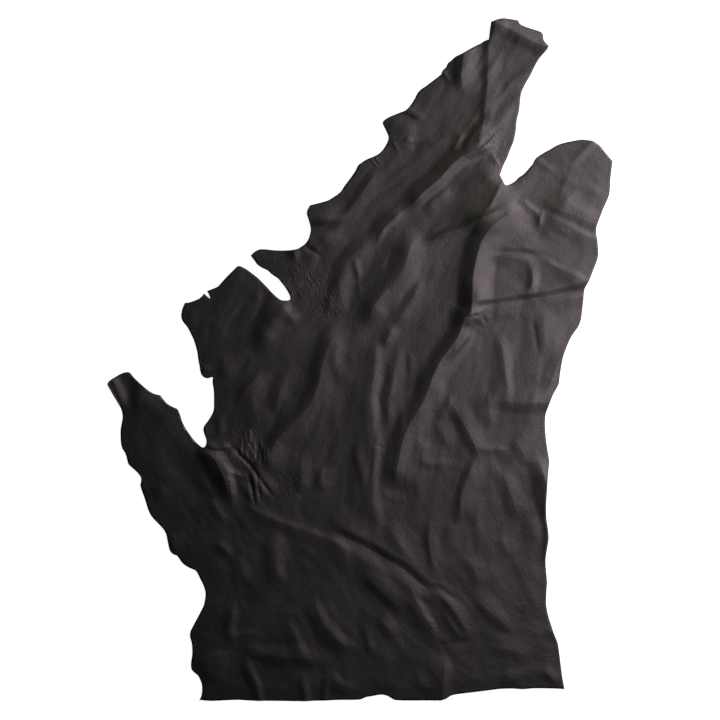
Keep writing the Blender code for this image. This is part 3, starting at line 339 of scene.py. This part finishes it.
FLANK_FOLDS = [
    ("flank ridge", 9, 5.0, 3.4, 0.5, [
        (-3.5, 8.5), (-4.8, 7.0), (-7.2, 4.5), (-8.8, 1.0), (-9.8, -3.0), (-11.0, -8.0), (-13.8, -12.6),
        (-17.0, -16.2), (-20.0, -19.2), (-21.6, -22.0), (-22.7, -25.0), (-23.6, -30.0)]),
    ("strap furrow", 8, 4.8, 4.2, 0.1, [
        (-19.5, 21.5), (-20.4, 16.0), (-21.4, 11.5), (-23.4, 6.5), (-25.6, 1.0)]),
    ("strap wedge", 5, 2.4, 3.0, 0.6, [(-20.2, 14.6), (-18.6, 12.4), (-16.8, 10.2), (-15.4, 8.4)]),
    ("strap root", 5.5, 1.8, 2.2, 0.6, [(-17.6, 31.5), (-16.8, 28.0), (-16.2, 25.6), (-15.4, 23.0)]),
    ("strap nip", -3, 1.0, 1.3, 0.4, [(-16.5, 30.2), (-13.6, 28.1), (-11.5, 26.7), (-8.5, 25.2)]),
    ("flank one", 4, 3.5, 2.6, 0.5, [
        (-15.5, 0.0), (-18.0, -3.0), (-19.9, -7.0), (-20.4, -11.0), (-19.8, -14.5)]),
    ("flank two", 3.6, 4.0, 4.0, 0.5, [
        (-24.6, -2.0), (-26.5, -6.0), (-26.8, -10.0), (-25.6, -14.0), (-24.0, -17.5)]),
    ("flank three", 4, 3.0, 1.6, 0.5, [(-23.5, -2.2), (-26.5, -5.6), (-29.5, -8.6), (-31.0, -11.0)]),
    ("flank four", 3, 3.2, 2.2, 0.15, [(-5.4, 5.0), (-6.0, 0.0), (-5.2, -4.0), (-5.0, -7.0)]),
    ("flank five", 3, 2.0, 2.0, 0.5, [(-7.0, 16.5), (-7.6, 14.0), (-6.8, 11.5)]),
    ("flank six", 1.2, 1.6, 1.4, 0.2, [(-1.2, 25.0), (-1.2, 22.0), (-0.8, 20.0)]),
    ("flank seven", 3, 2.6, 2.4, 0.5, [(-14.4, -23.0), (-14.4, -27.0), (-14.6, -31.0), (-14.2, -34.0)]),
    ("flank eight", 3, 3.0, 2.2, 0.5, [(-9.6, -25.5), (-9.4, -29.0), (-8.8, -33.0)]),
    ("hip cup", 12, 3.0, 3.4, 0.55, [
        (-40.6, -20.0), (-38.6, -21.7), (-36.4, -23.7), (-34.6, -26.4), (-33.4, -29.8), (-32.8, -34.5)]),
    ("hip cup, lower", 4.5, 1.8, 3.0, 0.5, [(-33.8, -25.0), (-32.6, -28.5), (-31.8, -32.0), (-31.2, -37.5)]),
    ("hip pinch", -3.5, 0.8, 0.9, 0.6, [
        (-33.5, -19.4), (-31.6, -21.2), (-29.4, -23.6), (-27.0, -26.1), (-25.0, -29.0), (-23.0, -31.6),
        (-20.0, -35.0)]),
    ("hip upper line", -6, 0.9, 1.8, 0.5, [
        (-40.5, -20.8), (-37.6, -21.8), (-35.0, -22.5), (-32.6, -22.1), (-30.5, -20.2)]),
    ("hip inner line", -3, 0.7, 0.8, 0.6, [(-28.0, -26.5), (-26.6, -31.0), (-25.8, -37.5)]),
    ("hip inner line two", -2.4, 0.6, 0.6, 0.6, [(-26.2, -27.0), (-25.1, -30.5), (-24.4, -35.5)]),
    ("hip outer crease", 2.4, 0.7, 0.8, 0.6, [
        (-28.6, -17.0), (-27.9, -20.5), (-26.2, -24.0), (-24.9, -27.5)]),
    ("hip cross line", 3, 1.6, 1.2, 0.5, [(-34.0, -27.4), (-31.5, -27.7), (-29.2, -28.6), (-26.6, -28.4)]),
    ("hip edge one", 3, 2.2, 1.0, 0.5, [(-38.2, -15.0), (-38.0, -17.5), (-37.4, -20.0)]),
    ("hip edge two", 1.5, 1.6, 1.4, 0.5, [(-34.6, -13.0), (-34.6, -16.0), (-34.2, -19.0)]),
    ("hip foot", 3, 1.8, 2.2, 0.4, [(-37.4, -32.6), (-35.8, -35.8), (-34.2, -38.8), (-32.5, -42.0)]),
    ("thigh side one", 3, 2.5, 3.0, 0.5, [(-30.3, -45.0), (-29.7, -49.0), (-29.0, -53.0), (-27.5, -57.0)]),
    ("thigh side two", 2.5, 2.5, 1.6, 0.5, [(-36.0, -44.0), (-33.5, -46.3), (-31.2, -48.2)]),
    ("belly lobe", 2.2, 2.6, 2.2, 0.3, [(-34.0, 2.0), (-33.4, -1.5), (-33.8, -5.0)]),
    ("belly rim", 3, 2.0, 1.0, 0.5, [(-38.6, -1.0), (-38.4, -3.5)]),
    ("shank curl", 12, 2.5, 1.5, 0.4, [
        (-62.5, 0.5), (-61.2, -4.4), (-60.3, -7.0), (-59.0, -10.0), (-57.6, -14.0)]),
    ("shank curl, inner", 8, 6.0, 3.4, 0.2, [(-55.0, 0.0), (-54.0, -5.0), (-54.0, -9.5), (-55.2, -14.0)]),
    ("shank side one", 2, 1.8, 2.4, 0.3, [(-49.4, -29.5), (-49.2, -32.0), (-48.4, -35.0)]),
    ("shank side three", 1.4, 1.2, 1.6, 0.3, [(-53.5, -28.5), (-53.3, -31.5), (-52.4, -34.0)]),
    ("shank side two", 3, 3.0, 2.0, 0.5, [(-46.4, -42.0), (-46.2, -45.0), (-45.5, -47.5)]),
]
# Small upright wrinkles between the flank and the hip. Columns: x, top and bottom in cm.
SMALL_WRINKLES = [
    (-29.4, -18.4, -24.4), (-28.3, -20.4, -24.0), (-27.2, -16.8, -21.2), (-26.2, -19.2, -24.8),
    (-25.1, -21.4, -26.8), (-24.5, -19.0, -22.6), (-23.7, -20.6, -25.8), (-22.8, -21.4, -24.8),
]
SMALL_SHAPE = (1.9, 0.5, 0.45, 0.6)     # rise, reaches and sharpness, as above
SMALL_BEND = 0.1                        # how far each bends to the side, cm
HIP_WRINKLES = [
    ("small wrinkle", *SMALL_SHAPE, [
        (x, top), (x + SMALL_BEND, (top + bottom) / 2), (x - SMALL_BEND, bottom)])
    for x, top, bottom in SMALL_WRINKLES]
FOLDS = NECK_FOLDS + BACK_FOLDS + LOBE_FOLDS + RUMP_FOLDS + FLANK_FOLDS + HIP_WRINKLES

# Soft unevenness between the folds, drawn out along the lie of the skin. Columns: name; middle x and
# y and reach, cm; the lines' direction in degrees from +X; height in mm; length and width, cm.
LIE = [
    ("neck", 31, 67, 11, 58, 3.4, 12.8, 4.4),
    ("shoulder", 10, 46, 15, 43, 3.1, 21, 5.5),
    ("chest", 6, 20, 14, 62, 2.9, 18.9, 5.7),
    ("bay", 30, 38, 8, 40, 2.5, 12.6, 4.7),
    ("lobe", 52, 32, 13, -28, 2.7, 14.7, 5.7),
    ("saddle", 38, -2, 13, 78, 2.7, 16.8, 6),
    ("ribs", 6, -16, 14, 84, 2.9, 21, 4.9),
    ("belly", -28, 4, 14, 60, 2.9, 16.8, 5.5),
    ("flank", -16, -14, 12, 66, 2.9, 16.8, 4.7),
    ("shank", -52, -22, 12, 118, 2, 12.6, 5.7),
    ("hip", -31, -34, 10, -48, 2.4, 12.6, 4.2),
    ("rump", 32, -38, 14, 96, 2.4, 16.8, 6.5),
    ("tail", 20, -62, 14, -48, 2.7, 14.7, 5.7),
    ("thigh", -14, -58, 14, 112, 2.4, 14.7, 6.2),
    ("low left", -28, -76, 12, 6, 2, 12.6, 4.7),
    ("low right", 32, -78, 12, -14, 2, 12.6, 5.2),
]
# Patches of fine wrinkles in the grain. Columns: name; middle x and y, cm; reach in x and y, cm; share.
WRINKLED = [
    ("strap root", -13.0, 20.0, 7.0, 7.0, 0.9),
    ("strap end", -8.5, 14.0, 5.5, 6.5, 0.7),
    ("flank", -17.0, -30.0, 5.0, 8.0, 0.5),
    ("belly corner", -36.5, -1.5, 3.5, 4.0, 0.35),
    ("hip", -27.0, -23.0, 8.0, 9.0, 0.6),
    ("neck foot", 33.0, 52.5, 3.5, 6.0, 0.6),
    ("withers", 40.0, 33.0, 4.0, 6.0, 0.4),
    ("lobe", 52.0, 46.0, 10.0, 8.0, 0.2),
]
PATCH_POWER = 0.7           # how full a patch stays towards its rim

# How a fold is shaped.
FADE_REACH = 6.0 * CM       # longest stretch over which a fold rises from its end
FADE_SHARE = 0.38           # the same stretch at most, as a share of the fold's length
CREASE_POWER = 1.15         # how hollow the sides of a crease are
BANK_REACH = 3.6            # width of a furrow with its banks, in widths of the furrow
TAIL_SHARE = 0.25           # share of a ridge's height in its wide soft foot
TAIL_REACH = 2.3            # width of that foot, in widths of the ridge
FOOT = 1.2 * MM             # rounding where a fold meets the floor
WARP = 3.5 * MM             # how far the folds wander from their drawn paths
WARP_SIZE = 6.0 * CM        # size of the bends in which they wander
WARP_SEEDS = (3.1, 7.7)     # for the wandering in x and in y

# How the leather lies between the folds.
BASE = 2.6 * MM             # how high it lies there on average
EDGE_SHARE = 0.3            # share of that height and of all unevenness left at the edge
EDGE_REACH = 4.0 * CM       # how far in from the edge they grow to their full size
LIE_WARP = 2.2              # how many times further than the folds the lie of the skin wanders
LIE_SEED_STEP = 1.7         # sets the waves of one part of the hide apart from the next part's
WAVE_SHARE = 0.5            # share of round waves in the lie of the skin, the rest being facets
FACETS = ((1.6, 1.0, 0.0), (3.3, 0.4, 0.5))     # facets to a wave's length; height; seed
SKEW = 0.366                # turns a square lattice into one of even triangles
SCATTER = np.array([127.1, 311.7])              # uneven numbers that give each corner of a facet
SCATTER_BY = 43758.5                            # a height of its own
LEAST_WEIGHT = 1e-6         # keeps the parts' weights from adding up to nothing
NEAR_WEIGHT = 0.01          # weight from which a part of the hide counts at a point
DIMPLE = 0.5 * MM           # height of the smallest unevenness
DIMPLE_SIZE = 2.6 * CM
DIMPLE_SEED = 11.3


def curve_through(points, step):
    """Points every step or so along a smooth curve through the given ones."""
    knots = np.array(points, dtype=float)
    knots = np.vstack([2 * knots[0] - knots[1], knots, 2 * knots[-1] - knots[-2]])
    run = []
    for before, start, end, after in zip(knots, knots[1:], knots[2:], knots[3:]):
        length = np.linalg.norm(end - start)
        pull_in = (end - before) * length / (length + np.linalg.norm(start - before))
        pull_out = (after - start) * length / (length + np.linalg.norm(after - end))
        count = max(1, round(length / step))
        for t in np.arange(count)[:, None] / count:
            run.append((2 * t**3 - 3 * t**2 + 1) * start + (t**3 - 2 * t**2 + t) * pull_in
                       + (3 * t**2 - 2 * t**3) * end + (t**3 - t**2) * pull_out)
    run.append(knots[-2][None, :])
    return np.vstack(run)


def nearest_on_path(points, path):
    """Each point's distance from the path, the way walked to it, the path's length, and the hand."""
    near = np.full(len(points), np.inf)
    along = np.zeros(len(points))
    on_left = np.zeros(len(points), dtype=bool)
    walked = 0.0
    for start, end in zip(path, path[1:]):
        step = end - start
        length = np.linalg.norm(step)
        offset = points - start
        share = np.clip(offset @ step / length**2, 0.0, 1.0)
        distance = np.linalg.norm(offset - share[:, None] * step, axis=1)
        closer = distance < near
        near[closer] = distance[closer]
        along[closer] = walked + share[closer] * length
        on_left[closer] = (step[0] * offset[:, 1] - step[1] * offset[:, 0] > 0)[closer]
        walked += length
    return near, along, walked, on_left


def cross_section(reach, sharp):
    """A fold's height at a distance from its crest, as shares of its rise and its width."""
    t = np.clip(reach, 0.0, 1.0)
    return (1 - sharp) * 0.5 * (1 + np.cos(np.pi * t)) + sharp * (1 - t)**CREASE_POWER


def eased(t):
    """A smooth step from 0 to 1."""
    t = np.clip(t, 0.0, 1.0)
    return t * t * (3 - 2 * t)


def fold_height(points, rise, left, right, sharp, path):
    """What one fold adds to the height of each point."""
    path = curve_through(np.array(path) * CM, PATH_STEP)
    spread = BANK_REACH * max(left, right) * CM
    close = np.all((points > path.min(axis=0) - spread) & (points < path.max(axis=0) + spread), axis=1)
    near, walked, length, on_left = nearest_on_path(points[close], path)
    fade = min(FADE_SHARE * length, FADE_REACH)
    width = np.where(on_left, left, right) * CM
    shape = cross_section(near / width, sharp)
    if rise < 0:
        shape = shape - cross_section(near / (BANK_REACH * width), 0.0)
    else:
        shape = (1 - TAIL_SHARE) * shape + TAIL_SHARE * cross_section(near / (TAIL_REACH * width), 0.0)
    added = np.zeros(len(points))
    added[close] = rise * MM * eased(walked / fade) * eased((length - walked) / fade) * shape
    return added


def search_tree(points):
    """A tree in which the points nearest to a place are found."""
    tree = KDTree(len(points))
    for index, (x, y) in enumerate(points):
        tree.insert((x, y, 0.0), index)
    tree.balance()
    return tree


def gap_to(points, others):
    """Each point's distance from the nearest of the others."""
    tree = search_tree(others)
    return np.array([tree.find((x, y, 0.0))[2] for x, y in points])


def waviness(points, size, seed):
    """Gentle unevenness of the given size, from about -1 to 1."""
    return np.array([noise.noise(Vector((x, y, seed))) for x, y in points / size])


def wander(points):
    """How far each point lies from where a fold's table would put it."""
    return WARP * np.column_stack([waviness(points, WARP_SIZE, seed) for seed in WARP_SEEDS])


def facets(places, seed):
    """Uneven heights on a lattice of triangles with plane facets between them, from about -1 to 1."""
    skewed = places + SKEW * places.sum(axis=1)[:, None]
    cell = np.floor(skewed)
    share = skewed - cell
    lower = share[:, 0] > share[:, 1]
    turn = np.column_stack([lower, ~lower]).astype(float)
    far, near = share.min(axis=1), 1 - share.max(axis=1)

    def height_at(corner):
        return 2 * np.modf(np.abs(np.sin(corner @ SCATTER + seed) * SCATTER_BY))[0] - 1

    return near * height_at(cell) + (1 - near - far) * height_at(cell + turn) + far * height_at(cell + 1)


def lie_height(points):
    """The unevenness between the folds, running along the lie of the skin."""
    points = points + LIE_WARP * wander(points)
    total = np.zeros(len(points))
    weights = np.zeros(len(points))
    for seed, (_, x, y, reach, turn, height, long, short) in enumerate(LIE):
        offset = points - np.array([x, y]) * CM
        weight = np.exp(-(np.linalg.norm(offset, axis=1) / (reach * CM))**2) + LEAST_WEIGHT
        way = np.array([math.cos(math.radians(turn)), math.sin(math.radians(turn))])
        across = np.array([-way[1], way[0]])
        near = weight > NEAR_WEIGHT
        drawn = np.column_stack([offset @ way / (long * CM), offset @ across / (short * CM)])[near]
        wave = waviness(drawn, 1.0, LIE_SEED_STEP * seed)
        plane = sum(share * facets(number * drawn, seed + shift) for number, share, shift in FACETS)
        total[near] += weight[near] * height * MM * (WAVE_SHARE * wave + (1 - WAVE_SHARE) * plane)
        weights += weight
    return total / weights


def hide_height(points, loop):
    """The height of the hide's underside over the floor."""
    bent = points + wander(points)
    height = np.zeros(len(points))
    for _, rise, left, right, sharp, path in FOLDS:
        height += fold_height(bent, rise, left, right, sharp, path)
    free = EDGE_SHARE + (1 - EDGE_SHARE) * eased(gap_to(points, loop) / EDGE_REACH)
    height += free * (BASE + lie_height(points) + DIMPLE * waviness(points, DIMPLE_SIZE, DIMPLE_SEED))
    rounded = np.where(height > FOOT, height, (height + FOOT)**2 / (4 * FOOT))
    rounded = np.where(height < -FOOT, 0.0, rounded)
    return np.maximum(rounded - FOOT / 4, 0.0)


def inside(points, loop):
    """Which points lie within the closed loop."""
    hit = np.zeros(len(points), dtype=bool)
    for start, end in zip(loop, np.roll(loop, -1, axis=0)):
        rise = end[1] - start[1]
        if rise == 0.0:
            continue
        spans = (start[1] > points[:, 1]) != (end[1] > points[:, 1])
        hit ^= spans & (points[:, 0] < start[0] + (points[:, 1] - start[1]) / rise * (end[0] - start[0]))
    return hit


def lattice(loop, pitch):
    """An even lattice of points within the edge."""
    low, high = loop.min(axis=0), loop.max(axis=0)
    rows = []
    for row, y in enumerate(np.arange(low[1], high[1], pitch * math.sqrt(3) / 2)):
        xs = np.arange(low[0] + (row % 2) * pitch / 2, high[0], pitch)
        rows.append(np.column_stack([xs, np.full(len(xs), y)]))
    points = np.vstack(rows)
    points = points[inside(points, loop)]
    return points[gap_to(points, loop) > EDGE_CLEAR * pitch]


def crest_points(loop):
    """Rows of points on each fold's crest and close beside it, which keep the crest crisp."""
    rows = []
    for *_, path in FOLDS:
        crest = curve_through(np.array(path) * CM, CREST_PITCH)
        crest = crest - wander(crest)
        way = np.gradient(crest, axis=0)
        side = np.column_stack([-way[:, 1], way[:, 0]]) / np.linalg.norm(way, axis=1)[:, None]
        rows += [crest, crest + CREST_GAP * side, crest - CREST_GAP * side]
    points = np.vstack(rows)
    _, first = np.unique(np.round(points / TWIN_GAP), axis=0, return_index=True)
    points = points[np.sort(first)]
    points = points[inside(points, loop)]
    return points[gap_to(points, loop) > CREST_GAP]


def triangles(plan, edge_count):
    """The triangles that fill the edge, as rows of the plan's points. The edge comes first in it."""
    ring = [(i, (i + 1) % edge_count) for i in range(edge_count)]
    _, _, faces, sources, _, _ = delaunay_2d_cdt([Vector(point) for point in plan], ring, [],
                                                 FILL_INSIDE, MERGE_GAP)
    return [[sources[corner][0] for corner in face] for face in faces]


def mark_wrinkles(mesh, points):
    """Keep on each point of the grain side how strong its fine wrinkles are."""
    wrinkled = mesh.attributes.new("wrinkled", "FLOAT", "POINT")
    for _, x, y, reach_x, reach_y, share in WRINKLED:
        for index, (px, py) in enumerate(points / CM):
            gap = math.hypot((px - x) / reach_x, (py - y) / reach_y)
            strength = share * (1 - min(gap, 1.0))**PATCH_POWER
            wrinkled.data[index].value = max(wrinkled.data[index].value, strength)


def make_hide():
    """The sheet of leather, its folds raised, with its grain side, flesh side and cut edge."""
    stretches = list(EDGE.values())
    loop = np.vstack([curve_through(np.array(stretch + following[:1]) * CM, EDGE_PITCH)[:-1]
                      for stretch, following in zip(stretches, stretches[1:] + stretches[:1])])
    middle = (loop.min(axis=0) + loop.max(axis=0)) / 2
    crests = crest_points(loop)
    spread = lattice(loop, PITCH)
    spread = spread[gap_to(spread, crests) > CREST_CLEAR]
    upper = np.vstack([loop, crests, spread])
    height = hide_height(upper, loop)
    lower = np.vstack([loop, lattice(loop, UNDER_PITCH)])
    tree = search_tree(upper)
    under = [min(height[index] for _, index, _ in tree.find_range((x, y, 0.0), UNDER_REACH))
             for x, y in lower]
    under[:len(loop)] = height[:len(loop)]

    verts = [(x, y, z + THICKNESS) for (x, y), z in zip(upper - middle, height)]
    verts += [(x, y, z) for (x, y), z in zip(lower - middle, under)]
    faces = triangles(upper, len(loop))
    faces += [[corner + len(upper) for corner in face] for face in triangles(lower, len(loop))]
    for i in range(len(loop)):
        j = (i + 1) % len(loop)
        faces.append([i, j, j + len(upper), i + len(upper)])
    mesh = bpy.data.meshes.new("cowhide_leather")
    mesh.from_pydata(verts, [], faces)
    sheet = bmesh.new()
    sheet.from_mesh(mesh)
    bmesh.ops.recalc_face_normals(sheet, faces=sheet.faces)
    sheet.to_mesh(mesh)
    sheet.free()
    mark_wrinkles(mesh, upper)
    hide = bpy.data.objects.new("cowhide_leather", mesh)
    bpy.context.scene.collection.objects.link(hide)
    return hide


# ---------------------------------------------------------------- the finishes
CLOUD = 90 * MM             # breadth of the cloudiness in the pigment
PEBBLE = 5.5 * MM           # grain pebbles; real ones are about 1 mm across, drawn coarser to show
HILL = 10 * MM              # breadth of the unevenness left by the press
FINE_WRINKLE = 8.5 * MM     # spacing of the fine wrinkles
FINE_TURN = math.radians(32)    # the way they run, from +Y
FINE_STRETCH = 2.4          # their length in widths
NAP = 3 * MM                # tufts of the flesh side; real ones are under 1 mm, drawn coarser to show
FIBRE = 1.2 * MM            # fibre bundles in the cut edge, drawn coarser than their 0.1 mm to show


def linear(hex_colour):
    """An sRGB hex colour as linear red, green, blue and alpha."""
    parts = [int(hex_colour[i:i + 2], 16) / 255 for i in (1, 3, 5)]
    return (*[c / 12.92 if c <= 0.04045 else ((c + 0.055) / 1.055)**2.4 for c in parts], 1.0)


def add(tree, kind, settings=(), links=()):
    """A node of a kind, with its settings and with its inputs linked."""
    node = tree.nodes.new(kind)
    for key, value in dict(settings).items():
        if hasattr(node, key):
            setattr(node, key, value)
        else:
            node.inputs[key].default_value = value
    for key, source in dict(links).items():
        tree.links.new(source, node.inputs[key])
    return node


def new_material(name):
    """A new material with its node tree and its shader."""
    material = bpy.data.materials.new(name)
    material.use_nodes = True
    return material, material.node_tree, material.node_tree.nodes["Principled BSDF"]


def grain_side():
    """Chrome-tanned cow leather with a black pigment finish, pressed smooth: a soft black with a low
    satin shine, a fine pebbled grain and faint cloudiness where the finish is thinner. The pigment
    leans to green, which the rosy window light evens out."""
    material, tree, shader = new_material("black_finished_leather")
    place = add(tree, "ShaderNodeTexCoord").outputs["Object"]
    clouds = add(tree, "ShaderNodeTexNoise", {"Scale": 1 / CLOUD, "Detail": 3.0}, {"Vector": place})
    black = add(tree, "ShaderNodeMixRGB", {"Color1": linear("#10150e"), "Color2": linear("#1c2219")},
                {"Fac": clouds.outputs["Fac"]})
    pebble = add(tree, "ShaderNodeTexNoise", {"Scale": 1 / PEBBLE, "Detail": 2.5, "Roughness": 0.6},
                 {"Vector": place})
    hills = add(tree, "ShaderNodeTexNoise", {"Scale": 1 / HILL, "Detail": 3.0}, {"Vector": place})
    shine = add(tree, "ShaderNodeMapRange",
                {"From Min": 0.3, "From Max": 0.7, "To Min": 0.54, "To Max": 0.62},
                {"Value": clouds.outputs["Fac"]})
    bump_fine = add(tree, "ShaderNodeBump", {"Strength": 1.0, "Distance": 0.55 * MM},
                    {"Height": pebble.outputs["Fac"]})
    bump_hills = add(tree, "ShaderNodeBump", {"Strength": 1.0, "Distance": 0.5 * MM},
                     {"Height": hills.outputs["Fac"], "Normal": bump_fine.outputs["Normal"]})
    turned = add(tree, "ShaderNodeMapping",
                 {"vector_type": "TEXTURE", "Rotation": (0.0, 0.0, FINE_TURN),
                  "Scale": (1.0, FINE_STRETCH, 1.0)},
                 {"Vector": place})
    creases = add(tree, "ShaderNodeTexNoise", {"Scale": 1 / FINE_WRINKLE, "Detail": 2.5, "Distortion": 0.5},
                  {"Vector": turned.outputs["Vector"]})
    middle = add(tree, "ShaderNodeMath", {"operation": "SUBTRACT"}, {0: creases.outputs["Fac"]})
    middle.inputs[1].default_value = 0.5        # the noise's mean, so that its zero lines fold sharply
    depth = add(tree, "ShaderNodeMath", {"operation": "ABSOLUTE"}, {0: middle.outputs["Value"]})
    patches = add(tree, "ShaderNodeAttribute", {"attribute_name": "wrinkled"})
    masked = add(tree, "ShaderNodeMath", {"operation": "MULTIPLY"},
                 {0: depth.outputs["Value"], 1: patches.outputs["Fac"]})
    bump = add(tree, "ShaderNodeBump", {"Strength": 1.0, "Distance": 5.5 * MM},
               {"Height": masked.outputs["Value"], "Normal": bump_hills.outputs["Normal"]})
    tree.links.new(black.outputs["Color"], shader.inputs["Base Color"])
    tree.links.new(shine.outputs["Result"], shader.inputs["Roughness"])
    tree.links.new(bump.outputs["Normal"], shader.inputs["Normal"])
    shader.inputs["IOR"].default_value = 1.5
    return material


def flesh_side():
    """The split, unfinished underside: dyed through, dull and fibrous."""
    material, tree, shader = new_material("suede_flesh_side")
    place = add(tree, "ShaderNodeTexCoord").outputs["Object"]
    nap = add(tree, "ShaderNodeTexNoise", {"Scale": 1 / NAP, "Detail": 4.0}, {"Vector": place})
    grey = add(tree, "ShaderNodeMixRGB", {"Color1": linear("#2b2724"), "Color2": linear("#423b36")},
               {"Fac": nap.outputs["Fac"]})
    bump = add(tree, "ShaderNodeBump", {"Strength": 1.0, "Distance": 0.3 * MM},
               {"Height": nap.outputs["Fac"]})
    tree.links.new(grey.outputs["Color"], shader.inputs["Base Color"])
    tree.links.new(bump.outputs["Normal"], shader.inputs["Normal"])
    shader.inputs["Roughness"].default_value = 0.95
    return material


def cut_edge():
    """The knife-cut edge, where the brown tanned fibre shows between two dyed faces."""
    material, tree, shader = new_material("raw_cut_leather")
    place = add(tree, "ShaderNodeTexCoord").outputs["Object"]
    fibre = add(tree, "ShaderNodeTexNoise", {"Scale": 1 / FIBRE, "Detail": 3.0}, {"Vector": place})
    brown = add(tree, "ShaderNodeMixRGB", {"Color1": linear("#2c221d"), "Color2": linear("#4b3a30")},
                {"Fac": fibre.outputs["Fac"]})
    tree.links.new(brown.outputs["Color"], shader.inputs["Base Color"])
    shader.inputs["Roughness"].default_value = 0.9
    return material


hide = make_hide()
for finish in (grain_side(), flesh_side(), cut_edge()):
    hide.data.materials.append(finish)
LEVEL = 0.5                 # upward part of a face's normal from which it is one of the broad sides
for face in hide.data.polygons:
    face.material_index = 0 if face.normal.z > LEVEL else (1 if face.normal.z < -LEVEL else 2)
    face.use_smooth = True
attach(hide, "root")
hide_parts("hide")

# ---------------------------------------------------------------- floor, light and camera
FLOOR_SIZE = 80.0           # metres, so that the floor's far edge stays out of sight in low views
FLOOR_DROP = 0.4 * MM       # keeps the floor clear of the hide's flat underside
FLOOR_GLOW = 0.95           # keeps the floor evenly pale however far it is from the lamps
STUDIO_GLOW = 0.006         # faint light from all round
ROSY_WHITE = "#ffe9f3"
# Soft lamps like tall windows. Columns: name; place and target, m; width and height, m; watts.
LAMPS = [
    ("window_upper", (1.7, 1.45, 0.89), (0.1, 0.1, 0), 1.0, 1.0, 67),
    ("window_side", (1.12, 0.05, 0.96), (0.1, -0.02, 0), 1.0, 0.8, 21),
]
FRAME_WIDTH = 1.774         # metres of floor that the picture spans


def add_lamp(name, place, target, wide, tall, power):
    """A soft rectangular lamp turned towards its target."""
    light = bpy.data.lights.new(name, "AREA")
    light.shape = "RECTANGLE"
    light.size = wide
    light.size_y = tall
    light.energy = power
    light.color = linear(ROSY_WHITE)[:3]
    lamp = bpy.data.objects.new(name, light)
    bpy.context.scene.collection.objects.link(lamp)
    lamp.location = place
    lamp.rotation_euler = (Vector(target) - Vector(place)).to_track_quat("-Z", "Y").to_euler()


floor_material, floor_tree, floor_shader = new_material("pale_floor")
floor_shader.inputs["Base Color"].default_value = linear("#a2a2a1")
floor_shader.inputs["Roughness"].default_value = 0.9
floor_shader.inputs["Specular IOR Level"].default_value = 0.1
floor_shader.inputs["Emission Color"].default_value = linear("#ffffff")
floor_shader.inputs["Emission Strength"].default_value = FLOOR_GLOW
bpy.ops.mesh.primitive_plane_add(size=FLOOR_SIZE, location=(0, 0, -FLOOR_DROP))
floor = bpy.context.active_object
floor.name = "floor"
floor.data.materials.append(floor_material)

for lamp_row in LAMPS:
    add_lamp(*lamp_row)
world = bpy.data.worlds.new("studio")
world.use_nodes = True
world.node_tree.nodes["Background"].inputs["Color"].default_value = (1, 1, 1, 1)
world.node_tree.nodes["Background"].inputs["Strength"].default_value = STUDIO_GLOW
bpy.context.scene.world = world

camera = bpy.data.cameras.new("camera")
camera.lens = 85
camera_object = bpy.data.objects.new("camera", camera)
bpy.context.scene.collection.objects.link(camera_object)
camera_object.location = (0, 0, FRAME_WIDTH * camera.lens / camera.sensor_width)
bpy.context.scene.camera = camera_object
bpy.context.scene.view_settings.view_transform = "Standard"
